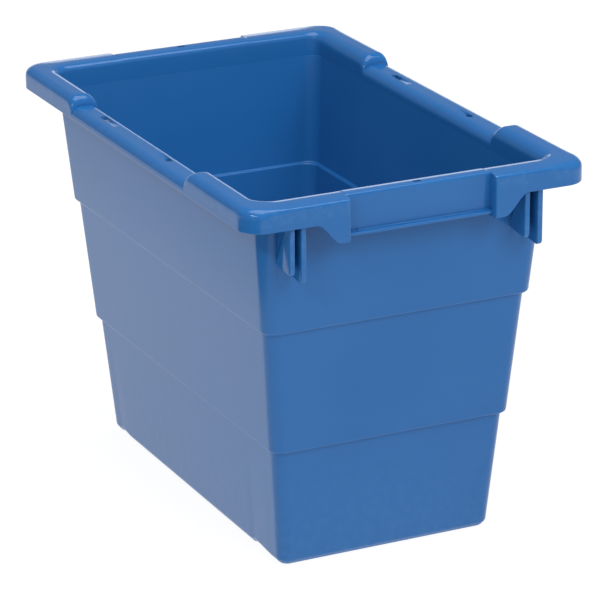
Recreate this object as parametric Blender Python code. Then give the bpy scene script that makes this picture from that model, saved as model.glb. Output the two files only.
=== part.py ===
"""Stackable storage bin: a stepped, tapered tub with a hooded rim and two end grips.

The real bin is one polypropylene moulding.  It is built here as the features that the
mould forms, each a closed solid of its own: the floor pan, three wall tiers, the feet,
the rim in its raised and lowered stretches, the two grips with their ears, and the ribs.

Frame: metres, +Z up, origin on the ground under the middle of the bin.
+X is the front end, +Y the left side.  Neighbouring solids keep JOINT_GAP between them.
"""
import math

import bmesh
import bpy
from mathutils import Vector

# Driving sizes of the whole bin
LENGTH = 0.43815
WIDTH = 0.2794
HEIGHT = 0.3048
WALL = 0.0028
JOINT_GAP = 0.0003

# Wall: half sizes at the ground, outward growth per metre of height, and the two ledges
BASE_HALF_X = 0.16135
BASE_HALF_Y = 0.08868
DRAFT_X = 0.100
DRAFT_Y = 0.082
LEDGE = 0.0030
LEDGE_HEIGHTS = (0.0965, 0.1958)
SHELF_THICKNESS = 0.0010
WALL_CORNER = 0.0090
WALL_CORNER_GROWTH = 0.010
LEAST_CORNER = 0.0020

# Floor pan and feet
PAN_BOTTOM = 0.0020
PAN_TOP = 0.0120
BASE_FILLET = 0.0080
FOOT_WIDTH = 0.0080
FOOT_TOE_INSET = 0.0048
FOOT_TOE_HEIGHT = 0.0005
FOOT_TOP_INSET = 0.0032
FOOT_NOTCH_FRONT = (0.111, 0.121)
FOOT_NOTCH_BACK = (-0.143, -0.133)

# Rim: the top band that hangs outside the wall like a hood
RIM_CORNER = 0.0180
RIM_SEAT = 0.2930
SKIRT_BOTTOM = 0.2873
RAIL_TOP = 0.2965
RAIL_HALF_LENGTH = 0.1080
STEP_RADIUS = HEIGHT - RAIL_TOP
SIDE_INNER_ROUND = 0.0105
SIDE_RAIL_INNER_ROUND = 0.0028
SIDE_OUTER_ROUND = 0.0070
END_INNER_ROUND = 0.0045
END_OUTER_ROUND = 0.0035

LEAST_UNDER_ROUND = 0.0004
INNER_HALF_X = BASE_HALF_X + DRAFT_X * RIM_SEAT + 2 * LEDGE - WALL
INNER_HALF_Y = BASE_HALF_Y + DRAFT_Y * RIM_SEAT + 2 * LEDGE - WALL
INNER_CORNER = WALL_CORNER + WALL_CORNER_GROWTH * RIM_SEAT
SIDE_WIDTH = WIDTH / 2 - INNER_HALF_Y
END_WIDTH = LENGTH / 2 - INNER_HALF_X

# Slots through the rim top
SLOT_LENGTH = 0.0120
SLOT_WIDTH = 0.0048
RAIL_SLOT_X = (-0.069, 0.052)
RAIL_SLOT_Y = 0.1270
GRIP_SLOT_LENGTH = 0.0068
GRIP_SLOT_WIDTH = 0.0040
GRIP_SLOT_X = 0.2050
GRIP_SLOT_Y = 0.0022

# Grips and ears at the two ends
GRIP_HALF_WIDTH = 0.0593
GRIP_SETBACK = 0.0085
GRIP_LIP_TOP = 0.2760
GRIP_LIP_BOTTOM = 0.2735
GRIP_LIP_REACH = 0.0045
EAR_BOTTOM = 0.2713
EAR_FLAT_END = 0.0660
EAR_CURVE_END = 0.0845
EAR_OUTER_END = 0.0860
EAR_TURN_IN_RUN = 0.0003

# Ribs below the rim at the ends: (middle, bottom) of each, seen on the front end
RIB_THICKNESS = 0.0044
RIB_FRONT = 0.2150
RIB_TOP = 0.3000
RIB_CHAMFER = 0.0030
SHORT_RIB_BOTTOM = 0.2500
LONG_RIB_BOTTOM = 0.2431
RIBS = {
    "outer_right": (-0.1025, SHORT_RIB_BOTTOM),
    "inner_right": (-0.0935, LONG_RIB_BOTTOM),
    "inner_left": (0.0890, SHORT_RIB_BOTTOM),
    "outer_left": (0.0998, LONG_RIB_BOTTOM),
}

# Gussets hidden inside the long sides of the rim
GUSSET_THICKNESS = 0.0026
GUSSET_X = {"front": 0.1716, "back": -0.1805}

CORNER_SEGMENTS = 6
ROUND_SEGMENTS = 3
PLASTIC = (0.030, 0.130, 0.400, 1.0)
PLASTIC_ROUGHNESS = 0.35


def clear_scene():
    for old in list(bpy.data.objects):
        bpy.data.objects.remove(old, do_unlink=True)


def plastic_for(name):
    """A blue injection-moulded polypropylene of its own for one solid."""
    material = bpy.data.materials.new(name + "_plastic")
    material.use_nodes = True
    shader = material.node_tree.nodes["Principled BSDF"]
    shader.inputs["Base Color"].default_value = PLASTIC
    shader.inputs["Roughness"].default_value = PLASTIC_ROUGHNESS
    shader.inputs["Metallic"].default_value = 0.0
    return material


def add_object(name, bm, smooth_angle=35.0):
    """Turn a finished bmesh into a named, shaded object."""
    bmesh.ops.recalc_face_normals(bm, faces=bm.faces)
    mesh = bpy.data.meshes.new(name)
    bm.to_mesh(mesh)
    bm.free()
    mesh.shade_smooth()
    mesh.set_sharp_from_angle(angle=math.radians(smooth_angle))
    mesh.materials.append(plastic_for(name))
    item = bpy.data.objects.new(name, mesh)
    bpy.context.collection.objects.link(item)
    return item


def bridge(bm, first, second):
    """Quads between two rings of vertices that have the same count."""
    count = len(first)
    for i in range(count):
        j = (i + 1) % count
        bm.faces.new((first[i], first[j], second[j], second[i]))


def loft(name, sections, closed=False):
    """A solid through closed sections: a tube with capped ends, or an endless ring."""
    bm = bmesh.new()
    rings = [[bm.verts.new(point) for point in section] for section in sections]
    for first, second in zip(rings, rings[1:]):
        bridge(bm, first, second)
    if closed:
        bridge(bm, rings[-1], rings[0])
    else:
        bm.faces.new(rings[0])
        bm.faces.new(rings[-1])
    return add_object(name, bm)


def prism(name, outline, direction):
    """A flat outline, a list of points, pushed along a direction vector."""
    shift = Vector(direction)
    near = [Vector(point) - shift / 2 for point in outline]
    far = [Vector(point) + shift / 2 for point in outline]
    return loft(name, [near, far])


def rounded_rectangle(half_x, half_y, radius, z):
    """A level loop of points, anticlockwise from the +X side, with arcs at the corners."""
    points = []
    for quarter, (sx, sy) in enumerate(((1, 1), (-1, 1), (-1, -1), (1, -1))):
        centre_x = sx * (half_x - radius)
        centre_y = sy * (half_y - radius)
        for step in range(CORNER_SEGMENTS + 1):
            angle = (quarter + step / CORNER_SEGMENTS) * math.pi / 2
            x = centre_x + radius * math.cos(angle)
            y = centre_y + radius * math.sin(angle)
            points.append((x, y, z))
    return points


def wall_half(z, tier):
    """Half length and half width of the wall's outer face at a height."""
    return (
        BASE_HALF_X + DRAFT_X * z + LEDGE * tier,
        BASE_HALF_Y + DRAFT_Y * z + LEDGE * tier,
    )


def wall_loop(z, tier, inset=0.0):
    """The wall's loop at a height: its outer face, or that face moved in by inset."""
    half_x, half_y = wall_half(z, tier)
    radius = max(WALL_CORNER + WALL_CORNER_GROWTH * z - inset, LEAST_CORNER)
    return rounded_rectangle(half_x - inset, half_y - inset, radius, z)


def build_floor_pan():
    """A shallow dish: flat base, rounded foot of the wall, and the floor inside."""
    outside = []
    for step in range(ROUND_SEGMENTS + 1):
        z = PAN_BOTTOM + (BASE_FILLET - PAN_BOTTOM) * step / ROUND_SEGMENTS
        drop = BASE_FILLET - z
        inset = BASE_FILLET - math.sqrt(BASE_FILLET ** 2 - drop ** 2)
        outside.append(wall_loop(z, 0, inset))
    outside.append(wall_loop(PAN_TOP, 0))
    floor = PAN_BOTTOM + WALL
    inside = [
        wall_loop(PAN_TOP, 0, WALL),
        wall_loop(floor + WALL, 0, WALL),
        wall_loop(floor, 0, 2 * WALL),
    ]
    return loft("floor_pan", outside + inside)


def build_wall_tiers():
    """Three tapered rings; the upper two stand out by one ledge over the one below."""
    edges = (PAN_TOP, *LEDGE_HEIGHTS, RIM_SEAT)
    for tier, name in enumerate(("lower_wall", "middle_wall", "upper_wall")):
        bottom = edges[tier] + (JOINT_GAP if tier == 0 else 0.0)
        top = edges[tier + 1] - JOINT_GAP
        loops = [wall_loop(bottom, tier), wall_loop(top, tier), wall_loop(top, tier, WALL)]
        if tier == 0:
            loops.append(wall_loop(bottom, tier, WALL))
        else:
            loops.append(wall_loop(bottom + SHELF_THICKNESS, tier, WALL))
            loops.append(wall_loop(bottom + SHELF_THICKNESS, tier, WALL + LEDGE))
            loops.append(wall_loop(bottom, tier, WALL + LEDGE))
        loft(name, loops, closed=True)


def foot_section(x, y, out_x, out_y):
    """The bead's cross-section at a place on the base edge, facing outward (out_x, out_y)."""
    top = PAN_BOTTOM - JOINT_GAP
    profile = (
        (-BASE_FILLET, 0.0),
        (-FOOT_TOE_INSET, FOOT_TOE_HEIGHT),
        (-FOOT_TOP_INSET, top),
        (-BASE_FILLET - FOOT_WIDTH, top),
        (-BASE_FILLET - FOOT_WIDTH, 0.0),
    )
    return [(x + out_x * offset, y + out_y * offset, z) for offset, z in profile]


def build_feet():
    """A low bead under the edge of the floor, broken by four drain notches."""
    span = (FOOT_NOTCH_BACK[1], FOOT_NOTCH_FRONT[0])
    for name, side in (("left", 1), ("right", -1)):
        sections = [foot_section(x, side * BASE_HALF_Y, 0, side) for x in span]
        loft("foot_side_" + name, sections)
    for name, end, stop in (("front", 1, FOOT_NOTCH_FRONT[1]), ("back", -1, FOOT_NOTCH_BACK[0])):
        edge_x = end * BASE_HALF_X
        sections = [
            foot_section(stop, -BASE_HALF_Y, 0, -1),
            foot_section(edge_x, -BASE_HALF_Y, end, -1),
            foot_section(edge_x, BASE_HALF_Y, end, 1),
            foot_section(stop, BASE_HALF_Y, 0, 1),
        ]
        loft("foot_end_" + name, sections)


def arc(centre_d, centre_z, radius, start, end):
    """Points on a round, with distance from the inner face first and height second."""
    points = []
    for step in range(ROUND_SEGMENTS + 1):
        angle = math.radians(start + (end - start) * step / ROUND_SEGMENTS)
        points.append((centre_d + radius * math.cos(angle), centre_z + radius * math.sin(angle)))
    return points


def rim_profile(top, skirt_bottom, inner_round, outer_round, width, skirt=WALL):
    """The hood's outline: up the inner face, over the top, down the skirt and back inside.

    Distances run outward from the bin's inner face; the inside follows WALL away.
    """
    high_in = top - inner_round
    high_out = top - outer_round
    under_round_in = max(inner_round - WALL, LEAST_UNDER_ROUND)
    under_round_out = max(outer_round - WALL, LEAST_UNDER_ROUND)
    outline = [(0.0, RIM_SEAT)]
    outline += arc(inner_round, high_in, inner_round, 180, 90)
    outline += arc(width - outer_round, high_out, outer_round, 90, 0)
    outline += [(width, skirt_bottom), (width - skirt, skirt_bottom)]
    inside_top = top - WALL
    outline += arc(width - skirt - under_round_out, inside_top - under_round_out,
                   under_round_out, 0, 90)
    outline += arc(WALL + under_round_in, inside_top - under_round_in,
                   under_round_in, 90, 180)
    outline.append((WALL, RIM_SEAT))
    return outline


def stand(profile, inner, outer):
    """Place a rim profile between an inner and an outer point of the plan."""
    inner = Vector((inner[0], inner[1], 0.0))
    outward = (Vector((outer[0], outer[1], 0.0)) - inner).normalized()
    return [inner + outward * d + Vector((0.0, 0.0, z)) for d, z in profile]


def step_top(x):
    """Height of the rim along a long side: low in the middle, a round step, then high."""
    run = abs(x) - RAIL_HALF_LENGTH
    if run >= STEP_RADIUS:
        return HEIGHT
    short = STEP_RADIUS - run
    return RAIL_TOP + math.sqrt(STEP_RADIUS ** 2 - short ** 2)


def ear_bottom(y):
    """Height of an ear's lower edge: a flat tip, an S-curve, then the skirt's own edge."""
    run = (abs(y) - EAR_FLAT_END) / (EAR_CURVE_END - EAR_FLAT_END)
    run = min(max(run, 0.0), 1.0)
    ease = run * run * (3.0 - 2.0 * run)
    return EAR_BOTTOM + (SKIRT_BOTTOM - EAR_BOTTOM) * ease


def build_side_rail(name, side):
    """The lowered stretch of the rim along one long side, with its two slots."""
    profile = rim_profile(RAIL_TOP, SKIRT_BOTTOM, SIDE_RAIL_INNER_ROUND, SIDE_OUTER_ROUND,
                          SIDE_WIDTH)
    reach = RAIL_HALF_LENGTH - JOINT_GAP
    sections = []
    for x in (-reach, reach):
        sections.append(stand(profile, (x, side * INNER_HALF_Y), (x, side * WIDTH / 2)))
    rail = loft(name, sections)
    for number, x in enumerate(RAIL_SLOT_X):
        size = (SLOT_LENGTH, SLOT_WIDTH)
        cut_slot(rail, "%s_slot_%d" % (name, number), (x, side * RAIL_SLOT_Y, RAIL_TOP), size)


def cut_slot(body, name, centre, size):
    """Cut an oblong hole down through the rim top."""
    length, width = size
    lying = length > width
    radius = min(size) / 2
    reach = max(size) / 2 - radius
    outline = []
    for end, first in ((1, -90), (-1, 90)):
        for step in range(2 * ROUND_SEGMENTS + 1):
            angle = math.radians(first + 90 * step / ROUND_SEGMENTS)
            along = end * reach + radius * math.cos(angle)
            across = radius * math.sin(angle)
            x, y = (along, across) if lying else (-across, along)
            outline.append((centre[0] + x, centre[1] + y, centre[2]))
    cutter = prism(name, outline, (0.0, 0.0, 4 * WALL))
    cutter.hide_render = True
    cutter.display_type = "WIRE"
    cut = body.modifiers.new("slot", "BOOLEAN")
    cut.object = cutter
    cut.operation = "DIFFERENCE"


def build_rim_corner(name, end, side):
    """A raised corner of the rim: from the step on the long side round to the ear."""
    inner_centre = Vector((INNER_HALF_X - INNER_CORNER, INNER_HALF_Y - INNER_CORNER))
    outer_centre = Vector((LENGTH / 2 - RIM_CORNER, WIDTH / 2 - RIM_CORNER))
    sections = []

    def add(top, rounds, inner, outer):
        width = (Vector(outer) - Vector(inner)).length
        profile = rim_profile(top, SKIRT_BOTTOM, rounds[0], rounds[1], width)
        flip = Vector((end, side))
        sections.append(stand(profile, Vector(inner) * flip, Vector(outer) * flip))

    side_rounds = (SIDE_INNER_ROUND, SIDE_OUTER_ROUND)
    end_rounds = (END_INNER_ROUND, END_OUTER_ROUND)
    for step in range(ROUND_SEGMENTS + 2):
        turn = math.radians(90 * step / (ROUND_SEGMENTS + 1))
        x = RAIL_HALF_LENGTH + STEP_RADIUS * (1.0 - math.cos(turn))
        top = step_top(x)
        raised = (top - RAIL_TOP) / STEP_RADIUS
        low_round = SIDE_RAIL_INNER_ROUND
        inner_round = low_round + (SIDE_INNER_ROUND - low_round) * raised
        add(top, (inner_round, SIDE_OUTER_ROUND), (x, INNER_HALF_Y), (x, WIDTH / 2))
    for step in range(CORNER_SEGMENTS + 1):
        share = step / CORNER_SEGMENTS
        turn = math.radians(90 * (1.0 - share))
        ray = Vector((math.cos(turn), math.sin(turn)))
        rounds = [a + (b - a) * share for a, b in zip(side_rounds, end_rounds)]
        add(HEIGHT, rounds, inner_centre + ray * INNER_CORNER, outer_centre + ray * RIM_CORNER)
    add(HEIGHT, end_rounds, (INNER_HALF_X, EAR_OUTER_END), (LENGTH / 2, EAR_OUTER_END))
    loft(name, sections)


def build_ear(name, end, side):
    """The end of the rim beside a grip: its skirt drops in an S and turns in to the grip."""
    sections = []
    turn_in = GRIP_HALF_WIDTH + WALL
    outer_end = EAR_OUTER_END - JOINT_GAP
    places = [turn_in + EAR_TURN_IN_RUN, EAR_FLAT_END]
    steps = 2 * ROUND_SEGMENTS
    for step in range(1, steps + 1):
        places.append(EAR_FLAT_END + (EAR_CURVE_END - EAR_FLAT_END) * step / steps)
    places.append(outer_end)

    def add(y, skirt):
        profile = rim_profile(HEIGHT, ear_bottom(y), END_INNER_ROUND, END_OUTER_ROUND,
                              END_WIDTH, skirt)
        y = side * y
        sections.append(stand(profile, (end * INNER_HALF_X, y), (end * LENGTH / 2, y)))

    for y in (GRIP_HALF_WIDTH, turn_in):
        add(y, GRIP_SETBACK + WALL)
    for y in places:
        add(y, WALL)
    loft(name, sections)


def build_grip(name, end):
    """The pull at one end: a panel set back between the ears, with a lip along its foot."""
    face = LENGTH / 2 - GRIP_SETBACK - INNER_HALF_X
    profile = rim_profile(HEIGHT, GRIP_LIP_TOP, END_INNER_ROUND, END_OUTER_ROUND, face)
    foot = profile.index((face, GRIP_LIP_TOP))
    lip = [
        (face, GRIP_LIP_TOP),
        (face + GRIP_LIP_REACH, GRIP_LIP_TOP),
        (face + GRIP_LIP_REACH, GRIP_LIP_BOTTOM),
        (face - WALL, GRIP_LIP_BOTTOM),
    ]
    profile[foot:foot + 2] = lip
    reach = GRIP_HALF_WIDTH - JOINT_GAP
    sections = []
    for y in (-reach, reach):
        sections.append(stand(profile, (end * INNER_HALF_X, y), (end * LENGTH / 2, y)))
    grip = loft(name, sections)
    centre = (end * GRIP_SLOT_X, end * GRIP_SLOT_Y, HEIGHT)
    cut_slot(grip, name + "_slot", centre, (GRIP_SLOT_WIDTH, GRIP_SLOT_LENGTH))


def build_ribs():
    """Upright ribs between the end wall and the rim; the back end is turned half round."""
    for end_name, end in (("front", 1), ("back", -1)):
        for rib_name, (middle, bottom) in RIBS.items():
            root_low = wall_half(bottom, 2)[0] + JOINT_GAP
            root_high = wall_half(RIM_SEAT, 2)[0] + JOINT_GAP
            outline = [
                (end * root_low, end * middle, bottom),
                (end * (RIB_FRONT - RIB_CHAMFER), end * middle, bottom),
                (end * RIB_FRONT, end * middle, bottom + RIB_CHAMFER),
                (end * RIB_FRONT, end * middle, RIB_TOP),
                (end * root_high, end * middle, RIB_TOP),
                (end * root_high, end * middle, RIM_SEAT),
            ]
            name = "rib_%s_%s" % (end_name, rib_name)
            prism(name, outline, (0.0, RIB_THICKNESS, 0.0))


def build_gussets():
    """Small webs that brace the long sides of the rim from inside, at its raised ends."""
    root = wall_half(RIM_SEAT, 2)[1] + JOINT_GAP
    front = WIDTH / 2 - WALL - JOINT_GAP
    low = SKIRT_BOTTOM + WALL / 2
    under = HEIGHT - WALL - 2 * JOINT_GAP
    outline = (
        (root, low),
        (front, low),
        (front, HEIGHT - SIDE_OUTER_ROUND - JOINT_GAP),
        (WIDTH / 2 - SIDE_OUTER_ROUND, under),
        (INNER_HALF_Y + SIDE_INNER_ROUND, under),
        (root, HEIGHT - SIDE_INNER_ROUND - JOINT_GAP),
    )
    for side_name, side in (("left", 1), ("right", -1)):
        for end_name, x in GUSSET_X.items():
            points = [(x, side * y, z) for y, z in outline]
            name = "gusset_%s_%s" % (end_name, side_name)
            prism(name, points, (GUSSET_THICKNESS, 0.0, 0.0))


def build_bin():
    clear_scene()
    build_floor_pan()
    build_wall_tiers()
    build_feet()
    for side_name, side in (("left", 1), ("right", -1)):
        build_side_rail("rim_side_" + side_name, side)
        for end_name, end in (("front", 1), ("back", -1)):
            build_rim_corner("rim_corner_%s_%s" % (end_name, side_name), end, side)
            build_ear("ear_%s_%s" % (end_name, side_name), end, side)
    build_grip("grip_front", 1)
    build_grip("grip_back", -1)
    build_ribs()
    build_gussets()


build_bin()
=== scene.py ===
import math

import bmesh
import bpy
import numpy as np
from mathutils import Matrix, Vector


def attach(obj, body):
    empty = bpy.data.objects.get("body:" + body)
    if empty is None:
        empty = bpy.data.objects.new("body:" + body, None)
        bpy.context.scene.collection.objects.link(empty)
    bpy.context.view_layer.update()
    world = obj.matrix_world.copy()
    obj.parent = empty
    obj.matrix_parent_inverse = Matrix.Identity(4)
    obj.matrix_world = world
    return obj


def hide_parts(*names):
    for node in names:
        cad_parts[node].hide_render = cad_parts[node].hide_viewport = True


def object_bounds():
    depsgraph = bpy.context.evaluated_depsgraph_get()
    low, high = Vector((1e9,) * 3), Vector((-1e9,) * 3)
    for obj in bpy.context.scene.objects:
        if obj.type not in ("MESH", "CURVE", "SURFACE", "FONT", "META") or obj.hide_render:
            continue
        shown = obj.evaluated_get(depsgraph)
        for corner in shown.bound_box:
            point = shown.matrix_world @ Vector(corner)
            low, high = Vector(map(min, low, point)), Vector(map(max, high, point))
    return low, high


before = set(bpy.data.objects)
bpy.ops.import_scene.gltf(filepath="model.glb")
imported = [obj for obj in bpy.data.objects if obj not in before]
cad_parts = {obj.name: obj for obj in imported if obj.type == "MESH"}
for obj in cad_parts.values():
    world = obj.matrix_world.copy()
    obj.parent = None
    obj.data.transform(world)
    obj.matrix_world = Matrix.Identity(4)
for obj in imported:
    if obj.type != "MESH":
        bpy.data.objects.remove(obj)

cad_low, cad_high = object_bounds()


# The studio: a sheet of white paper that runs out of sight and glows a little of its own,
# under soft boxes overhead and in front, a thin strip and a low screen behind.  A dark card
# beside the bin shows only in reflections and draws the shape of the near corner.

FLOOR_REACH = 9.0
FLOOR_GAP = 0.0002
FLOOR_GLOW = 0.93
SURROUND_GLOW = 0.30
CARD_FROM_X = -0.42
CARD_TO_Y = -0.44
CARD_REACH = 3.0
CARD_Z = 0.001


def mesh_piece(name, points, faces, material=None, sharp=32.0):
    """A mesh object at the origin from arrays of points and faces, smooth except where
    two faces meet at more than `sharp` degrees."""
    mesh = bpy.data.meshes.new(name)
    mesh.from_pydata(np.asarray(points, float).tolist(), [], [list(map(int, f)) for f in faces])
    mesh.shade_smooth()
    mesh.set_sharp_from_angle(angle=math.radians(sharp))
    mesh.update()
    item = bpy.data.objects.new(name, mesh)
    bpy.context.collection.objects.link(item)
    if material is not None:
        mesh.materials.append(material)
    return item


paper = bpy.data.materials.new("studio_paper")
paper.use_nodes = True
paper_shader = paper.node_tree.nodes["Principled BSDF"]
paper_shader.inputs["Base Color"].default_value = (0.12, 0.12, 0.12, 1.0)
paper_shader.inputs["Emission Color"].default_value = (1.0, 1.0, 1.0, 1.0)
paper_shader.inputs["Emission Strength"].default_value = FLOOR_GLOW
paper_shader.inputs["Roughness"].default_value = 0.9
paper_shader.inputs["Specular IOR Level"].default_value = 0.1

floor_z = cad_low[2] - FLOOR_GAP
floor_corners = [(-FLOOR_REACH, -FLOOR_REACH, floor_z), (FLOOR_REACH, -FLOOR_REACH, floor_z),
                 (FLOOR_REACH, FLOOR_REACH, floor_z), (-FLOOR_REACH, FLOOR_REACH, floor_z)]
studio_floor = mesh_piece("studio_floor", floor_corners, [(0, 1, 2, 3)], paper)

card_shade = bpy.data.materials.new("studio_card")
card_shade.use_nodes = True
card_shader = card_shade.node_tree.nodes["Principled BSDF"]
card_shader.inputs["Base Color"].default_value = (0.05, 0.06, 0.08, 1.0)
card_shader.inputs["Roughness"].default_value = 1.0
card_corners = [(CARD_FROM_X, -CARD_REACH, CARD_Z), (CARD_REACH, -CARD_REACH, CARD_Z),
                (CARD_REACH, CARD_TO_Y, CARD_Z), (CARD_FROM_X, CARD_TO_Y, CARD_Z)]
dark_card = mesh_piece("dark_card", card_corners, [(0, 1, 2, 3)], card_shade)
dark_card.visible_camera = False
dark_card.visible_diffuse = False
dark_card.visible_shadow = False

surround = bpy.data.worlds.new("studio_surround")
surround.use_nodes = True
surround.node_tree.nodes["Background"].inputs["Color"].default_value = (1.0, 1.0, 1.0, 1.0)
surround.node_tree.nodes["Background"].inputs["Strength"].default_value = SURROUND_GLOW
bpy.context.scene.world = surround
bpy.context.scene.view_settings.view_transform = "Standard"


def aim(place, target):
    """A matrix that stands at `place` and looks along its own -Z at `target`, kept upright:
    back = place - target, right = up x back, and up = back x right, each made unit length."""
    back = np.subtract(place, target)
    back = back / np.linalg.norm(back)
    right = np.cross((0.0, 0.0, 1.0), back)
    right = right / np.linalg.norm(right)
    up = np.cross(back, right)
    matrix = np.eye(4)
    matrix[:3, 0], matrix[:3, 1], matrix[:3, 2], matrix[:3, 3] = right, up, back, place
    return matrix


def soft_box(name, place, target, width, height, power):
    """An oblong lamp at `place` that faces `target`, sizes in metres and power in watts."""
    lamp = bpy.data.lights.new(name, "AREA")
    lamp.shape = "RECTANGLE"
    lamp.size = width
    lamp.size_y = height
    lamp.energy = power
    item = bpy.data.objects.new(name, lamp)
    item.matrix_world = Matrix(aim(place, target).tolist())
    bpy.context.collection.objects.link(item)
    return item


soft_box("overhead_box", (0.15, 0.05, 2.1), (0.05, 0.0, 0.0), 1.6, 1.6, 32.0)
front_box = soft_box("front_box", (2.4, 0.6, 2.1), (0.1, 0.0, 0.15), 1.6, 1.4, 38.0)
front_box.visible_glossy = False
soft_box("key_strip", (1.15, -1.45, 1.58), (0.20, -0.12, 0.30), 0.7, 0.05, 9.0)
soft_box("back_screen", (-2.1, 1.0, 0.50), (0.0, 0.0, 0.33), 3.2, 0.34, 4.2)


# The camera stands off the right-hand front corner, a little above the rim, with a long
# lens.  It leans half a degree.

CAMERA_PLACE = (2.37089, -1.12837, 1.08570)
CAMERA_TURN = math.radians(25.484)
CAMERA_DIP = math.radians(19.565)
CAMERA_LEAN = math.radians(-0.540)
CAMERA_LENS = 216.1

forward = np.array([-math.cos(CAMERA_DIP) * math.cos(CAMERA_TURN),
                    math.cos(CAMERA_DIP) * math.sin(CAMERA_TURN),
                    -math.sin(CAMERA_DIP)])
level = np.cross(forward, (0.0, 0.0, 1.0))
level = level / np.linalg.norm(level)
rise = np.cross(level, forward)
view_right = level * math.cos(CAMERA_LEAN) + rise * math.sin(CAMERA_LEAN)
view_up = -level * math.sin(CAMERA_LEAN) + rise * math.cos(CAMERA_LEAN)
camera_matrix = np.eye(4)
camera_matrix[:3, 0] = view_right
camera_matrix[:3, 1] = view_up
camera_matrix[:3, 2] = -forward
camera_matrix[:3, 3] = CAMERA_PLACE
camera_data = bpy.data.cameras.new("studio_camera")
camera_data.lens = CAMERA_LENS
camera_data.sensor_width = 36.0
camera_data.clip_end = 50.0
camera = bpy.data.objects.new("studio_camera", camera_data)
camera.matrix_world = Matrix(camera_matrix.tolist())
bpy.context.collection.objects.link(camera)
bpy.context.scene.camera = camera


# The tub: a tapered box with rounded corners in three tiers, each standing out 3 mm over
# the one below, and a flat floor.  It is blue polypropylene, 2.8 mm thick, injection
# moulded in one piece with everything else on the bin.

WALL = 0.0028
BASE_HALF_X = 0.16135
BASE_HALF_Y = 0.08868
DRAFT_X = 0.100
DRAFT_Y = 0.082
LEDGE = 0.0030
LEDGE_HEIGHTS = (0.0965, 0.1958)
SHELF = 0.0010
WALL_CORNER = 0.0090
WALL_CORNER_GROWTH = 0.010
FLOOR_UNDER = 0.0020
FLOOR_FILLET = 0.0036
FOOT_FILLET = 0.0040
LEDGE_SLOPE = 0.0002
LEDGE_ROOT_ROUND = 0.0005
LEDGE_EDGE_ROUND = 0.0024
SHELF_EDGE_ROUND = 0.0010
SHELF_ROOT_ROUND = 0.0012
LEAST_CORNER = 0.0025
CAP_INSET = 0.0120
FLOOR_INSET = 0.0200
NOTCHES = ((0.1090, 0.0250), (-0.1480, 0.0130))
NOTCH_STEEP = 0.0050
NOTCH_HEIGHT = 0.0028
NOTCH_FADE = 0.0130
SEAM_HEIGHT = 0.2860
CORNER_STEPS = 18
STRAIGHT_STEPS = 110
EDGE_STEPS = 6

BLUE_DEEP = (0.0145, 0.117, 0.346, 1.0)
BLUE_LIGHT = (0.0180, 0.126, 0.365, 1.0)
BLUE_RUBBED = (0.060, 0.200, 0.440, 1.0)
PLASTIC_IOR = 1.37
TUB_GRAIN = 0.07
TUB_GLOSS = 0.22
LOW_WEAR = 0.5
LOW_WEAR_HEIGHT = 0.0060


def moulded_plastic(name, grain, gloss):
    """Blue polypropylene.  Base colour: two close blues mixed by slow cloudy noise, then a
    paler scuffed blue where the vertex attribute `rub` and a blotchy noise are both high.
    Roughness: `gloss` plus a little from the same noises.  Bump: fine mould grain
    of strength `grain`."""
    material = bpy.data.materials.new(name)
    material.use_nodes = True
    nodes, links = material.node_tree.nodes, material.node_tree.links
    shader = nodes["Principled BSDF"]
    shader.inputs["IOR"].default_value = PLASTIC_IOR
    shader.inputs["Metallic"].default_value = 0.0
    place = nodes.new("ShaderNodeTexCoord")

    def noise(scale, detail, rough=0.5):
        n = nodes.new("ShaderNodeTexNoise")
        n.inputs["Scale"].default_value = scale
        n.inputs["Detail"].default_value = detail
        n.inputs["Roughness"].default_value = rough
        links.new(place.outputs["Object"], n.inputs["Vector"])
        return n

    def mixed(kind, factor, a, b):
        m = nodes.new("ShaderNodeMix")
        m.data_type = kind
        index = {"RGBA": (6, 7, 2), "FLOAT": (2, 3, 0)}[kind]
        for socket, value in ((0, factor), (index[0], a), (index[1], b)):
            if hasattr(value, "is_output"):
                links.new(value, m.inputs[socket])
            else:
                m.inputs[socket].default_value = value
        return m.outputs[index[2]]

    def spread(value, low, high, to_low=0.0, to_high=1.0):
        m = nodes.new("ShaderNodeMapRange")
        m.inputs["From Min"].default_value = low
        m.inputs["From Max"].default_value = high
        m.inputs["To Min"].default_value = to_low
        m.inputs["To Max"].default_value = to_high
        links.new(value, m.inputs["Value"])
        return m.outputs["Result"]

    def product(a, b):
        m = nodes.new("ShaderNodeMath")
        m.operation = "MULTIPLY"
        links.new(a, m.inputs[0])
        links.new(b, m.inputs[1])
        return m.outputs[0]

    cloud = noise(9.0, 3.0)
    blotch = noise(140.0, 4.0, 0.65)
    fine = noise(620.0, 2.0)
    rub = nodes.new("ShaderNodeAttribute")
    rub.attribute_name = "rub"
    scuff = product(rub.outputs["Fac"], spread(blotch.outputs["Fac"], 0.42, 0.66))
    blue = mixed("RGBA", spread(cloud.outputs["Fac"], 0.35, 0.65), BLUE_DEEP, BLUE_LIGHT)
    blue = mixed("RGBA", scuff, blue, BLUE_RUBBED)
    links.new(blue, shader.inputs["Base Color"])
    shine = spread(cloud.outputs["Fac"], 0.3, 0.7, gloss - 0.03, gloss + 0.03)
    shine = mixed("FLOAT", scuff, shine, gloss + 0.16)
    links.new(shine, shader.inputs["Roughness"])
    grained = nodes.new("ShaderNodeBump")
    grained.inputs["Strength"].default_value = grain
    grained.inputs["Distance"].default_value = 0.00010
    links.new(fine.outputs["Fac"], grained.inputs["Height"])
    links.new(grained.outputs["Normal"], shader.inputs["Normal"])
    return material


tub_plastic = moulded_plastic("tub_plastic", TUB_GRAIN, TUB_GLOSS)


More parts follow.
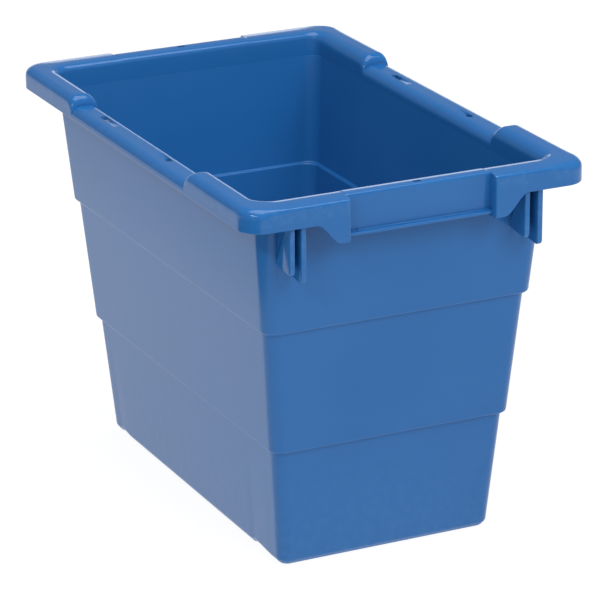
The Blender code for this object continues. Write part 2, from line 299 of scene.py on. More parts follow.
def round_corners(corners, radii, steps):
    """A path of corner points with each corner turned on its own radius.  `corners` has the
    shape (..., n, 2) and `radii` (..., n).  With a and b the unit directions to the corners
    before and after, and h half the angle between them, the arc is tangent r / tan(h) away
    from the corner, its centre lies r / sin(h) along a + b, and its points swing evenly from
    the first tangent point to the second.  The path is closed: the ends are neighbours."""
    before = np.roll(corners, 1, axis=-2) - corners
    after = np.roll(corners, -1, axis=-2) - corners
    a = before / np.linalg.norm(before, axis=-1, keepdims=True)
    b = after / np.linalg.norm(after, axis=-1, keepdims=True)
    cosine = np.clip((a * b).sum(axis=-1), -1.0, 1.0)
    half = np.arccos(cosine) / 2
    straight = half > math.radians(89.0)
    back = np.where(straight, 0.00005, np.maximum(radii, 0.00002) / np.tan(half))
    start = corners + a * back[..., None]
    end = corners + b * back[..., None]
    lean = a + b
    lean = lean / np.maximum(np.linalg.norm(lean, axis=-1, keepdims=True), 1e-12)
    centre = corners + lean * (np.maximum(radii, 0.00002) / np.sin(half))[..., None]
    swing = math.pi - 2 * half
    share = np.linspace(0.0, 1.0, steps + 1)
    weight = np.where(straight, 1.0, np.sin(swing))
    first = np.sin((1.0 - share) * swing[..., None]) / weight[..., None]
    second = np.sin(share * swing[..., None]) / weight[..., None]
    arc = (centre[..., None, :] + first[..., None] * (start - centre)[..., None, :]
           + second[..., None] * (end - centre)[..., None, :])
    line = start[..., None, :] + share[:, None] * (end - start)[..., None, :]
    arc = np.where(straight[..., None, None], line, arc)
    return arc.reshape(*corners.shape[:-2], -1, 2)


def level_loops(half_x, half_y, radius, z):
    """Rounded rectangles, one for each entry of the four arrays: quarter circles of
    `radius` about the corner centres (half_x - radius, half_y - radius), joined by straight
    runs cut into equal steps.  The result has the shape (loops, stations, 3)."""
    turn = np.linspace(0.0, math.pi / 2, CORNER_STEPS + 1)
    quarter = np.arange(4)[:, None] * math.pi / 2
    sign_x = np.array([1, -1, -1, 1])[:, None]
    sign_y = np.array([1, 1, -1, -1])[:, None]
    angle = quarter + turn[None, :]
    x = sign_x * (half_x - radius)[:, None, None] + radius[:, None, None] * np.cos(angle)
    y = sign_y * (half_y - radius)[:, None, None] + radius[:, None, None] * np.sin(angle)
    share = np.arange(1, STRAIGHT_STEPS)[None, None, :] / STRAIGHT_STEPS

    def with_run(v):
        start = v[:, :, -1:]
        finish = np.roll(v, -1, axis=1)[:, :, :1]
        return np.concatenate([v, start + (finish - start) * share], axis=2).reshape(len(z), -1)

    x, y = with_run(x), with_run(y)
    return np.stack([x, y, np.broadcast_to(z[:, None], x.shape)], axis=-1)


def grid_faces(rows, columns, wrap_rows, wrap_columns, flip=False):
    """Quads of a grid of rows x columns points, wrapped round either way on request."""
    r = np.arange(rows if wrap_rows else rows - 1)[:, None]
    c = np.arange(columns if wrap_columns else columns - 1)[None, :]
    r2, c2 = (r + 1) % rows, (c + 1) % columns
    quads = np.stack([r * columns + c, r * columns + c2, r2 * columns + c2, r2 * columns + c],
                     axis=-1).reshape(-1, 4)
    return quads[:, ::-1] if flip else quads


def rub_marks(item, values):
    """Store one number per vertex, 0 to 1, for how much handling that spot has had."""
    mark = item.data.attributes.new("rub", "FLOAT", "POINT")
    mark.data.foreach_set("value", np.clip(values, 0.0, 1.0).astype(np.float32))


def notch_lift(x, z):
    """How far a point near the bottom edge of a long side is raised by the drain notches.
    Along the side it is the lower of a steep rise from the start of a notch and a straight
    ramp down to its far end, times NOTCH_HEIGHT; with height it dies away evenly and is
    gone at NOTCH_FADE."""
    lift = np.zeros_like(x)
    for start, ramp in NOTCHES:
        rise = (x - start) / NOTCH_STEEP
        fall = 1.0 - (x - start - NOTCH_STEEP) / ramp
        lift = np.maximum(lift, np.clip(np.minimum(rise, fall), 0.0, 1.0))
    return NOTCH_HEIGHT * lift * np.clip(1.0 - z / NOTCH_FADE, 0.0, 1.0)


# Corner points of the tub's own section as (outward from the drafted face, height, radius):
# up the outside over two ledges, across the top, and down the inside to the floor.  The
# arcs at its two ends are left out, and flat faces close the floor below and above.
outside = [
    (-CAP_INSET, FLOOR_UNDER, 0.0),
    (0.0, FLOOR_UNDER, FOOT_FILLET),
    (0.0, LEDGE_HEIGHTS[0], LEDGE_ROOT_ROUND),
    (LEDGE, LEDGE_HEIGHTS[0] + LEDGE_SLOPE, LEDGE_EDGE_ROUND),
    (LEDGE, LEDGE_HEIGHTS[1], LEDGE_ROOT_ROUND),
    (2 * LEDGE, LEDGE_HEIGHTS[1] + LEDGE_SLOPE, LEDGE_EDGE_ROUND),
    (2 * LEDGE, SEAM_HEIGHT, 0.0),
]
inside = [
    (2 * LEDGE - WALL, SEAM_HEIGHT, 0.0),
    (2 * LEDGE - WALL, LEDGE_HEIGHTS[1] + SHELF, SHELF_EDGE_ROUND),
    (LEDGE - WALL, LEDGE_HEIGHTS[1] + SHELF - LEDGE_SLOPE, SHELF_ROOT_ROUND),
    (LEDGE - WALL, LEDGE_HEIGHTS[0] + SHELF, SHELF_EDGE_ROUND),
    (-WALL, LEDGE_HEIGHTS[0] + SHELF - LEDGE_SLOPE, SHELF_ROOT_ROUND),
    (-WALL, FLOOR_UNDER + WALL, FLOOR_FILLET),
    (-FLOOR_INSET, FLOOR_UNDER + WALL, 0.0),
]
tub_corners = np.array(outside + inside)
section = round_corners(tub_corners[:, :2], tub_corners[:, 2], EDGE_STEPS)
section = section[EDGE_STEPS:-EDGE_STEPS]
out, height = section[:, 0], section[:, 1]
inset = np.maximum(0.0, -out)
tub_radius = np.maximum(WALL_CORNER + WALL_CORNER_GROWTH * height - inset, LEAST_CORNER)
tub_points = level_loops(BASE_HALF_X + DRAFT_X * height + out,
                         BASE_HALF_Y + DRAFT_Y * height + out, tub_radius, height)
tub_rows, tub_columns = tub_points.shape[:2]
skin = slice(0, tub_rows // 2)
tub_points[skin, :, 2] += notch_lift(tub_points[skin, :, 0], tub_points[skin, :, 2])
tub_faces = [tuple(q) for q in grid_faces(tub_rows, tub_columns, False, True)]
tub_faces.append(tuple(range(tub_columns))[::-1])
tub_faces.append(tuple(range((tub_rows - 1) * tub_columns, tub_rows * tub_columns)))
tub = mesh_piece("tub", tub_points.reshape(-1, 3), tub_faces, tub_plastic)
low_wear = np.exp(-height / LOW_WEAR_HEIGHT) * (np.arange(tub_rows) < tub_rows / 2)
rub_marks(tub, np.repeat(low_wear, tub_columns) * LOW_WEAR)
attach(tub, "root")
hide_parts("floor_pan", "lower_wall", "middle_wall", "upper_wall")


# The feet: a low bead moulded under the edge of the floor, all round the bin, that carries
# the wall's rounded foot down to the ground.  Each long side has two shallow drain notches
# in it, with a short steep end towards the back and a long ramp towards the front.

FOOT_OUTER = 0.0006
FOOT_HEIGHT = 0.0060
FOOT_ROUND = 0.0054
FOOT_INNER = 0.0165
FOOT_INNER_ROUND = 0.0008
FOOT_INNER_LEAN = 0.0006
FOOT_TOP = FLOOR_UNDER + 0.0003
FOOT_TUCK = 0.0044
LEAST_FOOT_CORNER = 0.0015
FOOT_STEPS = 8
FOOT_RUB = 0.3

foot_corners = np.array([
    (-FOOT_OUTER, FOOT_HEIGHT, 0.0),
    (-FOOT_OUTER, 0.0, FOOT_ROUND),
    (-FOOT_INNER, 0.0, FOOT_INNER_ROUND),
    (-FOOT_INNER - FOOT_INNER_LEAN, FOOT_TOP, 0.0),
    (-FOOT_OUTER - FOOT_TUCK, FOOT_TOP, 0.0),
])
bead = round_corners(foot_corners[:, :2], foot_corners[:, 2], FOOT_STEPS)
foot_out, foot_height = bead[:, 0], bead[:, 1]
foot_radius = np.maximum(WALL_CORNER + foot_out, LEAST_FOOT_CORNER)
foot_points = level_loops(BASE_HALF_X + foot_out, BASE_HALF_Y + foot_out, foot_radius,
                          foot_height)
foot_points[..., 2] += notch_lift(foot_points[..., 0], foot_points[..., 2])
feet = mesh_piece("feet", foot_points.reshape(-1, 3),
                  grid_faces(*foot_points.shape[:2], True, True, flip=True), tub_plastic)
rub_marks(feet, np.full(foot_points[..., 0].size, FOOT_RUB))
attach(feet, "root")
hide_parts("foot_side_left", "foot_side_right", "foot_end_front", "foot_end_back")


# The rim: a hood, one moulding with the wall, that rolls outward from its top and hangs
# down as a skirt.  Each long side dips in the middle so that the next bin locks in place,
# and at each end two ears frame a set-back grip with a lip along its foot.

RIM_GRAIN = 0.04
RIM_GLOSS = 0.11
HALF_LENGTH = 0.219075
HALF_WIDTH = 0.1397
RIM_TOP = 0.3048
RAIL_TOP = 0.2965
RAIL_HALF_LENGTH = 0.1080
STEP_ROUND = RIM_TOP - RAIL_TOP
SKIRT_BOTTOM = 0.2873
FACE_HEIGHT = 0.2930
INNER_HALF_X = BASE_HALF_X + DRAFT_X * FACE_HEIGHT + 2 * LEDGE - WALL
INNER_HALF_Y = BASE_HALF_Y + DRAFT_Y * FACE_HEIGHT + 2 * LEDGE - WALL
INNER_CORNER = WALL_CORNER + WALL_CORNER_GROWTH * FACE_HEIGHT - WALL
RIM_CORNER = 0.0180
END_RUN = 0.1040
SIDE_RUN = 0.1815
END_INNER_ROUND = 0.0045
END_OUTER_ROUND = 0.0021
SIDE_INNER_ROUND = 0.0105
RAIL_INNER_ROUND = 0.0088
SIDE_OUTER_ROUND = 0.0070
GRIP_HALF = 0.0589
GRIP_MIDDLE = 0.0015
END_CROWN = 0.0013
END_DIP = 0.0011
CROWN_START = 0.0095
CROWN_DEPTH = 0.0140
CROWN_FADE = 0.0100
GRIP_SETBACK = 0.0085
GRIP_LEAN = 0.0015
GRIP_TOP_ROUND = 0.0020
GRIP_CREASE = 0.0003
LIP_TOP = 0.2760
LIP_BOTTOM = 0.2735
LIP_REACH = 0.0045
LIP_ROOT_ROUND = 0.0009
LIP_EDGE_ROUND = 0.0007
HEM_TOP = 0.0017
HEM_STEP = 0.0012
LEAST_BACK_ROUND = 0.0006
EAR_BOTTOM = 0.2713
EAR_FLAT_END = 0.0664
EAR_CURVE_END = 0.0862
EAR_EDGE_ROUND = 0.0016
RAIL_SLOTS = ((-0.0690, -0.0450), (0.0520, 0.0310))
RAIL_SLOT_Y = 0.1268
RAIL_SLOT_SIZE = (0.0060, 0.0024)
GRIP_SLOT = (0.2050, 0.0022)
GRIP_SLOT_SIZE = (0.0034, 0.0019)
SLOT_CUT = 0.0060
RAMP_HALF_WIDTH = 0.0027
RAMP_SIDE = 0.0006
RAMP_DEPTH = 0.0016
SINK_DEPTH = 0.00006
RIB_SINK = 0.0012
GUSSET_SINK = 0.0008
RIB_PLACES = (-0.1025, -0.0935, 0.0890, 0.0998)
GUSSET_PLACES = (0.1716, -0.1805)
BEND = 0.2
HAIR = 0.00003
STEP_HAIR = 0.00004
ROUND_STEPS = 9
TOP_PIECES = 18
SKIRT_PIECES = 5
BACK_PIECES = 4
RIM_SHARP = 30.0
HIGH_RUB = 0.22
HIGH_RUB_FROM = 0.2920
HIGH_RUB_WIDTH = 0.0040
LOW_RUB = 0.20
LOW_RUB_WIDTH = 0.0020

rim_plastic = moulded_plastic("rim_plastic", RIM_GRAIN, RIM_GLOSS)


def ease(t):
    """The smooth step 3t^2 - 2t^3 between 0 and 1."""
    t = np.clip(t, 0.0, 1.0)
    return t * t * (3.0 - 2.0 * t)


def spaced(*parts):
    """All the given numbers in order, without near repeats."""
    values = np.sort(np.concatenate([np.atleast_1d(p) for p in parts]))
    return values[np.concatenate([[True], np.diff(values) > 0.000015])]


quarter_turn = np.linspace(0.0, math.pi / 2, 8)
edge_places = GRIP_HALF + EAR_EDGE_ROUND * (1.0 - np.cos(quarter_turn))
half_end = np.concatenate([
    np.linspace(0.004, 0.056, 14), np.linspace(GRIP_HALF - 0.0017, GRIP_HALF - 0.0001, 5),
    [GRIP_HALF - HAIR], edge_places + HAIR, [GRIP_HALF + WALL - HAIR, GRIP_HALF + WALL + HAIR],
    np.linspace(EAR_FLAT_END, EAR_CURVE_END, 22),
    np.linspace(EAR_CURVE_END + 0.0008, END_RUN, 22)])
end_places = spaced(GRIP_MIDDLE - half_end, GRIP_MIDDLE + half_end,
                    np.linspace(-0.0025, 0.0070, 20), [-END_RUN, END_RUN])
end_places = end_places[np.abs(end_places) <= END_RUN]
step_places = RAIL_HALF_LENGTH + STEP_ROUND * (1.0 - np.cos(np.linspace(0, math.pi / 2, 15)))
half_side = np.concatenate([
    np.linspace(0.0, RAIL_HALF_LENGTH - 0.001, 14), [RAIL_HALF_LENGTH - STEP_HAIR],
    step_places + STEP_HAIR, np.linspace(0.118, 0.168, 14)])
back_slot, front_slot = RAIL_SLOTS
front_gusset, back_gusset = GUSSET_PLACES
side_places = spaced(
    -half_side, half_side, [-SIDE_RUN, SIDE_RUN, 0.1780, -0.1740],
    np.linspace(front_gusset - 0.0026, front_gusset + 0.0026, 9),
    np.linspace(back_gusset - 0.0010, back_gusset + 0.0026, 7),
    np.linspace(front_slot[1] - 0.002, front_slot[0] + 0.008, 50),
    np.linspace(back_slot[0] - 0.008, back_slot[1] + 0.002, 54))
corner_places = np.linspace(0.0, 1.0, 44)[1:-1]


def bent_run(share, half_x, half_y, radius):
    """Points of a quarter of a rounded rectangle between (half_x, END_RUN) and
    (SIDE_RUN, half_y): a straight run, an arc, and a straight run, by even arc length."""
    run_y = half_y - radius - END_RUN
    run_x = half_x - radius - SIDE_RUN
    curve = radius * math.pi / 2
    s = share * (run_y + curve + run_x)
    turn = np.clip((s - run_y) / radius, 0.0, math.pi / 2)
    x = half_x - radius + radius * np.cos(turn) - np.clip(s - run_y - curve, 0.0, None)
    y = END_RUN + np.clip(s, 0.0, run_y) + radius * np.sin(turn)
    return np.stack([x, y], axis=-1)


# Stations round the rim, anticlockwise from the right of the front end.  For each: its
# inner and outer points, how far it has turned from an end (0) to a long side (1), and its
# place along the straight run it lies on, or BEND, past both runs, in a corner.
stations = {"inner": [], "outer": [], "turn": [], "along": []}
mirror = np.array([-1.0, 1.0])
for half_turn in (1, -1):
    inner_end = np.stack([np.full(len(end_places), INNER_HALF_X), end_places], axis=-1)
    outer_end = np.stack([np.full(len(end_places), HALF_LENGTH), end_places], axis=-1)
    inner_bend = bent_run(corner_places, INNER_HALF_X, INNER_HALF_Y, INNER_CORNER)
    outer_bend = bent_run(corner_places, HALF_LENGTH, HALF_WIDTH, RIM_CORNER)
    xs = side_places[::-1] if half_turn == 1 else -side_places
    inner_side = np.stack([xs, np.full(len(xs), INNER_HALF_Y)], axis=-1)
    outer_side = np.stack([xs, np.full(len(xs), HALF_WIDTH)], axis=-1)
    for inner, outer, turn, along in (
            (inner_end, outer_end, np.zeros(len(end_places)), end_places),
            (inner_bend, outer_bend, corner_places, np.full(len(corner_places), BEND)),
            (inner_side, outer_side, np.ones(len(xs)), xs * half_turn),
            (inner_bend[::-1] * mirror, outer_bend[::-1] * mirror, corner_places[::-1],
             np.full(len(corner_places), BEND))):
        stations["inner"].append(inner * half_turn)
        stations["outer"].append(outer * half_turn)
        stations["turn"].append(turn)
        stations["along"].append(along)
inner = np.concatenate(stations["inner"])
outer = np.concatenate(stations["outer"])
turn = np.concatenate(stations["turn"])
along = np.concatenate(stations["along"])
count = len(turn)
fan = outer - inner
width = np.linalg.norm(fan, axis=1)
fan = fan / width[:, None]
at_end = turn == 0.0
at_side = turn == 1.0
across = np.where(at_end, np.abs(along - GRIP_MIDDLE), np.abs(along))

in_grip = at_end & (across < GRIP_HALF)
in_rail = at_side & (across < RAIL_HALF_LENGTH)
step_run = np.clip(STEP_ROUND - (across - RAIL_HALF_LENGTH), 0.0, STEP_ROUND)
raised = np.where(at_side, np.sqrt(np.maximum(STEP_ROUND ** 2 - step_run ** 2, 0.0))
                  / STEP_ROUND, 1.0)
raised = np.where(in_rail, 0.0, raised)
crease = np.where(at_end, ease((across - 0.0573) / 0.0014), 1.0 - ease(turn * 1.6))
top = RAIL_TOP + (RIM_TOP - RAIL_TOP) * raised - GRIP_CREASE * crease

swell = ease(turn)
inner_round = END_INNER_ROUND + (SIDE_INNER_ROUND - END_INNER_ROUND) * swell
inner_round = np.where(at_side, RAIL_INNER_ROUND + (SIDE_INNER_ROUND - RAIL_INNER_ROUND)
                       * raised, inner_round)
outer_round = END_OUTER_ROUND + (SIDE_OUTER_ROUND - END_OUTER_ROUND) * ease(turn * 2.2)
outer_round = np.where(in_grip, GRIP_TOP_ROUND, outer_round)

edge_short = np.clip(EAR_EDGE_ROUND - (across - GRIP_HALF), 0.0, EAR_EDGE_ROUND)
edge_back = EAR_EDGE_ROUND - np.sqrt(EAR_EDGE_ROUND ** 2 - edge_short ** 2)
face = np.where(in_grip, width - GRIP_SETBACK, width - np.where(at_end, edge_back, 0.0))
foot_face = np.where(in_grip, face - GRIP_LEAN, face)
back_face = np.where(at_end & (across < GRIP_HALF + WALL), width - GRIP_SETBACK - GRIP_LEAN,
                     width) - WALL
ear_low = EAR_BOTTOM + (SKIRT_BOTTOM - EAR_BOTTOM) * ease(
    (across - EAR_FLAT_END) / (EAR_CURVE_END - EAR_FLAT_END))
bottom = np.where(at_end, np.where(in_grip, LIP_BOTTOM, ear_low), SKIRT_BOTTOM)
lip_top = np.where(in_grip, LIP_TOP, bottom + HEM_TOP)
lip_out = np.where(in_grip, foot_face + LIP_REACH, foot_face)
lip_step = np.where(in_grip, LIP_TOP, bottom + HEM_STEP)

draft = DRAFT_X * np.abs(fan[:, 0]) + DRAFT_Y * np.abs(fan[:, 1])


def face_out(z):
    """How far outward the drafted inner face lies at height z, from its place at
    FACE_HEIGHT: draft * (z - FACE_HEIGHT)."""
    return draft * (z - FACE_HEIGHT)


seam = np.full(count, SEAM_HEIGHT)
corner_list = [
    (face_out(seam), seam, 0.0),
    (face_out(top), top, inner_round),
    (face, top, outer_round),
    (foot_face, lip_top, np.where(in_grip, LIP_ROOT_ROUND, 0.0)),
    (lip_out, lip_step, np.where(in_grip, LIP_EDGE_ROUND, 0.0)),
    (lip_out, bottom, LIP_EDGE_ROUND),
    (back_face, bottom, LIP_EDGE_ROUND),
    (back_face, top - WALL, np.maximum(outer_round - WALL, LEAST_BACK_ROUND)),
    (face_out(top) + WALL, top - WALL, np.maximum(inner_round - WALL, LEAST_BACK_ROUND)),
    (face_out(seam) + WALL, seam, 0.0),
]
rim_corners = np.stack([np.stack([c[0], c[1]], axis=-1) for c in corner_list], axis=1)
rim_radii = np.stack([np.broadcast_to(c[2], (count,)) for c in corner_list], axis=1)
rounded = round_corners(rim_corners, rim_radii, ROUND_STEPS)
per = ROUND_STEPS + 1


def filled(first, last, pieces):
    """Points strictly between two columns of the rounded section, evenly spaced."""
    share = np.arange(1, pieces)[None, :, None] / pieces
    return rounded[:, first, None] + (rounded[:, last] - rounded[:, first])[:, None] * share


profile = np.concatenate([
    rounded[:, 0:1],
    rounded[:, per:2 * per], filled(2 * per - 1, 2 * per, TOP_PIECES),
    rounded[:, 2 * per:3 * per], filled(3 * per - 1, 3 * per, SKIRT_PIECES),
    rounded[:, 3 * per:4 * per], rounded[:, 4 * per:5 * per],
    rounded[:, 5 * per:6 * per], rounded[:, 6 * per:7 * per],
    rounded[:, 7 * per:8 * per], filled(8 * per - 1, 8 * per, BACK_PIECES),
    rounded[:, 8 * per:9 * per], rounded[:, 9 * per:9 * per + 1]], axis=1)
skirt_start = 2 * per + TOP_PIECES
skirt_columns = slice(skirt_start - 1, skirt_start + SKIRT_PIECES - 1)

rim_points = np.empty((count, profile.shape[1], 3))
rim_points[..., :2] = inner[:, None] + fan[:, None] * profile[..., 0:1]
rim_points[..., 2] = profile[..., 1]

# The top of each end is slightly crowned.  From CROWN_START it falls towards the outside by
# END_CROWN times the square of the way across, and towards the inner edge it falls evenly
# by END_DIP.  Both fade out over CROWN_FADE down the skirt and down the inner face.
way = np.clip((profile[..., 0] - CROWN_START) / (width[:, None] - CROWN_START), 0.0, 1.2)
fade = ease((profile[..., 1] - top[:, None] + CROWN_DEPTH) / CROWN_FADE)
end_share = 1.0 - ease(turn * 1.5)
crowned = END_CROWN * end_share
dip = END_DIP * end_share
near_edge = np.clip((CROWN_START - profile[..., 0]) / CROWN_START, 0.0, 1.0)
rim_points[..., 2] -= (crowned[:, None] * way ** 2 + dip[:, None] * near_edge) * fade

# A shallow ramp leads into each slot of the rails: depth grows evenly along it, and its
# sides fall away over half a millimetre.
off_slot = np.abs(np.abs(rim_points[..., 1]) - RAIL_SLOT_Y)
slot_side = ease((RAMP_HALF_WIDTH - off_slot) / RAMP_SIDE)
ramp_depth = np.zeros(rim_points.shape[:2])
for slot_x, ramp_x in RAIL_SLOTS:
    travel = (rim_points[..., 0] - ramp_x) / (slot_x - ramp_x)
    ramp_depth = np.maximum(ramp_depth, np.where(travel < 1.0, np.clip(travel, 0.0, 1.0), 0.0))
on_rail = (in_rail[:, None] & (np.arange(profile.shape[1]) > per)[None]
           & (np.arange(profile.shape[1]) < 2 * per + TOP_PIECES)[None])
rim_points[..., 2] -= np.where(on_rail, RAMP_DEPTH * ramp_depth * slot_side, 0.0)

# Faint sink marks run down the skirt where ribs and gussets meet it from inside: grooves
# 0.06 mm deep with the outline of a bell curve 1 mm wide.
marks = np.zeros(count)
for place in RIB_PLACES:
    marks += np.where(at_end, np.exp(-((along - place) / RIB_SINK) ** 2), 0.0)
for place in GUSSET_PLACES:
    marks += np.where(at_side, np.exp(-((along - place) / GUSSET_SINK) ** 2), 0.0)
columns = np.arange(profile.shape[1])
skirt_share = ((columns >= skirt_columns.start) & (columns < skirt_columns.stop)).astype(float)
rim_points[..., :2] -= (fan[:, None] * (SINK_DEPTH * marks)[:, None, None]
                        * skirt_share[None, :, None])

rim = mesh_piece("rim", rim_points.reshape(-1, 3),
                 grid_faces(count, profile.shape[1], True, True, flip=True),
                 rim_plastic, RIM_SHARP)


def cut_through(item, name, centre, half_long, half_wide, lying):
    """Cut an upright oblong hole: two straight sides joined by half circles."""
    angle = np.linspace(-math.pi / 2, math.pi / 2, 9)
    straight = half_long - half_wide
    u = np.concatenate([straight + half_wide * np.cos(angle),
                        -straight - half_wide * np.cos(angle)])
    v = np.concatenate([half_wide * np.sin(angle), -half_wide * np.sin(angle)])
    x, y = (u, v) if lying else (-v, u)
    ring = np.stack([centre[0] + x, centre[1] + y, 0 * x + centre[2]], axis=-1)
    n = len(ring)
    points = np.concatenate([ring + (0, 0, -SLOT_CUT), ring + (0, 0, SLOT_CUT)])
    faces = [tuple(q) for q in grid_faces(2, n, False, True)]
    faces += [tuple(range(n))[::-1], tuple(range(n, 2 * n))]
    cutter = mesh_piece(name, points, faces)
    cut = item.modifiers.new(name, "BOOLEAN")
    cut.operation = "DIFFERENCE"
    cut.solver = "EXACT"
    cut.object = cutter
    return cutter


cutters = []
for side in (1, -1):
    for slot_x, ramp_x in RAIL_SLOTS:
        cutters.append(cut_through(rim, "slot_cutter", (slot_x, side * RAIL_SLOT_Y, RAIL_TOP),
                                   *RAIL_SLOT_SIZE, True))
for end in (1, -1):
    cutters.append(cut_through(rim, "slot_cutter",
                               (end * GRIP_SLOT[0], end * GRIP_SLOT[1], RIM_TOP),
                               *GRIP_SLOT_SIZE, False))
bpy.context.view_layer.update()
finished = rim.evaluated_get(bpy.context.evaluated_depsgraph_get())
cut_mesh = bpy.data.meshes.new_from_object(finished)
rim.modifiers.clear()
old_mesh, rim.data = rim.data, cut_mesh
bpy.data.meshes.remove(old_mesh)
for cutter in cutters:
    bpy.data.objects.remove(cutter, do_unlink=True)

# Cutting leaves a few slivers open beside the slots, which are closed here.
mend = bmesh.new()
mend.from_mesh(cut_mesh)
gaps = [edge for edge in mend.edges if edge.is_boundary]
bmesh.ops.holes_fill(mend, edges=gaps, sides=4)
mend.to_mesh(cut_mesh)
mend.free()
cut_mesh.name = "rim"
cut_mesh.shade_smooth()
cut_mesh.set_sharp_from_angle(angle=math.radians(RIM_SHARP))

places = np.empty(len(cut_mesh.vertices) * 3)
cut_mesh.vertices.foreach_get("co", places)
places = places.reshape(-1, 3)
to_edge = np.minimum(HALF_LENGTH - np.abs(places[:, 0]), HALF_WIDTH - np.abs(places[:, 1]))
high_edge = np.exp(-np.clip(to_edge, 0, None) / HIGH_RUB_WIDTH) * (places[:, 2] > HIGH_RUB_FROM)
low_edge = np.exp(-np.clip(places[:, 2] - EAR_BOTTOM, 0, None) / LOW_RUB_WIDTH)
rub_marks(rim, HIGH_RUB * high_edge + LOW_RUB * low_edge)
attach(rim, "root")
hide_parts("rim_side_left", "rim_side_right",
            "rim_corner_front_left", "rim_corner_front_right",
            "rim_corner_back_left", "rim_corner_back_right",
            "ear_front_left", "ear_front_right", "ear_back_left", "ear_back_right",
            "grip_front", "grip_back")


# The gate marks: a small raised half ring moulded at the foot of each grip panel, where the
# plastic ran into the mould.  It stands on the lip, off to one side.

MARK_ACROSS = -0.0500
MARK_RADIUS = 0.0026
MARK_THICK = 0.0005
MARK_LIFT = 0.0001

for end, end_name in ((1, "front"), (-1, "back")):
    swing = np.linspace(0.0, math.pi, 21)[:, None]
    tube = np.linspace(0.0, 2 * math.pi, 11)[None, :-1]
    reach_out = MARK_RADIUS + MARK_THICK * np.cos(tube)
    panel_x = HALF_LENGTH - GRIP_SETBACK - GRIP_LEAN + MARK_LIFT
    mark_points = np.stack([
        end * (panel_x + MARK_THICK * np.sin(tube) + 0 * swing),
        end * (MARK_ACROSS + reach_out * np.cos(swing)),
        LIP_TOP + reach_out * np.sin(swing)], axis=-1)
    rows, columns_round = mark_points.shape[:2]
    ring_faces = [tuple(q) for q in grid_faces(rows, columns_round, False, True, flip=True)]
    ring_faces += [tuple(range(columns_round)),
                   tuple(range((rows - 1) * columns_round, rows * columns_round))[::-1]]
    mark = mesh_piece("gate_mark_" + end_name, mark_points.reshape(-1, 3), ring_faces,
                      rim_plastic)
    rub_marks(mark, np.zeros(rows * columns_round))
    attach(mark, "root")


# The ribs: two pairs of upright plates at each end, moulded between the wall and the skirt,
# that carry the load of a bin stacked on top.  Their front edges are rounded, and each is
# thinner at the front than at the wall so that it leaves the mould.

RIB_FRONT = 0.2150
RIB_TOP = 0.2990
SHORT_RIB = 0.2500
LONG_RIB = 0.2431
ROOT_SUNK = 0.0023
RIB_THIN = 0.0044
RIB_THICK = 0.0050
RIB_EDGE = 0.0012
RIB_FOOT_RISE = 0.0034
RIB_FOOT_ROUND = 0.0036
RIB_HEAD_LEAN = 0.0006
RIB_HEAD_ROUND = 0.0010
RIB_ROOT_ROUND = 0.0006
RIB_RUB = 0.4
RIB_RUB_DEPTH = 0.0016
RIB_RUB_FADE = 0.0020
RIBS = (("outer_right", RIB_PLACES[0], SHORT_RIB), ("inner_right", RIB_PLACES[1], LONG_RIB),
        ("inner_left", RIB_PLACES[2], SHORT_RIB), ("outer_left", RIB_PLACES[3], LONG_RIB))


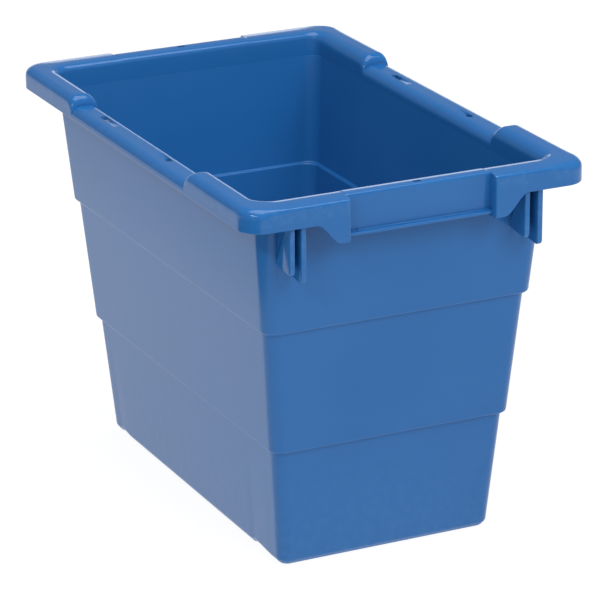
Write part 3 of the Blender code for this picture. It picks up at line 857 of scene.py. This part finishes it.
def plate(outline, middle, thick_front, thick_back, edge):
    """A flat plate from an outline in x and z.  Across its thickness the outline is drawn in
    by edge * (1 - cos a) while y nears its face by edge * (1 - sin a), which rounds the rim
    of the plate.  Its half thickness grows evenly from the front to the back."""
    ahead = np.roll(outline, -1, axis=0) - np.roll(outline, 1, axis=0)
    ahead = ahead / np.linalg.norm(ahead, axis=1, keepdims=True)
    inward = np.stack([-ahead[:, 1], ahead[:, 0]], axis=-1)
    a = np.linspace(math.pi / 2, 0.0, 6)
    draw = np.concatenate([edge * (1 - np.cos(a)), (edge * (1 - np.cos(a)))[::-1]])
    near = np.concatenate([-(1.0 - edge / thick_back * 2 * (1 - np.sin(a))),
                           (1.0 - edge / thick_back * 2 * (1 - np.sin(a)))[::-1]])
    back, front = outline[:, 0].min(), outline[:, 0].max()
    flat = outline[None] + inward[None] * draw[:, None, None]
    share = (flat[..., 0] - back) / (front - back)
    half = (thick_back + (thick_front - thick_back) * share) / 2
    points = np.stack([flat[..., 0], middle + near[:, None] * half, flat[..., 1]], axis=-1)
    rows, n = points.shape[:2]
    faces = [tuple(q) for q in grid_faces(rows, n, False, True, flip=True)]
    faces += [tuple(range(n)), tuple(range((rows - 1) * n, rows * n))[::-1]]
    return points.reshape(-1, 3), faces


for end, end_name in ((1, "front"), (-1, "back")):
    for rib_name, middle, low_end in RIBS:
        wall_low, wall_high = (BASE_HALF_X + DRAFT_X * z + 2 * LEDGE - ROOT_SUNK
                               for z in (low_end, RIB_TOP))
        rib_corners = np.array([(wall_low, low_end + RIB_FOOT_RISE, RIB_ROOT_ROUND),
                                (RIB_FRONT, low_end, RIB_FOOT_ROUND),
                                (RIB_FRONT + RIB_HEAD_LEAN, RIB_TOP, RIB_HEAD_ROUND),
                                (wall_high, RIB_TOP, RIB_ROOT_ROUND)])
        outline = round_corners(rib_corners[:, :2], rib_corners[:, 2], 7)
        points, faces = plate(outline, middle, RIB_THIN, RIB_THICK, RIB_EDGE)
        points[:, :2] *= end
        rib = mesh_piece("rib_%s_%s_plate" % (end_name, rib_name), points, faces, rim_plastic)
        front_edge = (np.abs(points[:, 0]) - RIB_FRONT + RIB_RUB_DEPTH) / RIB_RUB_FADE
        rub_marks(rib, RIB_RUB * np.clip(front_edge, 0.0, 1.0))
        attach(rib, "root")
        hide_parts("rib_%s_%s" % (end_name, rib_name))


# The gussets: small webs moulded inside the long sides of the hood, out of sight unless the
# bin is turned over.  Their solids show as they are and only take the rim's plastic.

for node in ("gusset_front_left", "gusset_front_right", "gusset_back_left",
             "gusset_back_right"):
    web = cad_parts[node].data
    web.materials.clear()
    web.materials.append(rim_plastic)
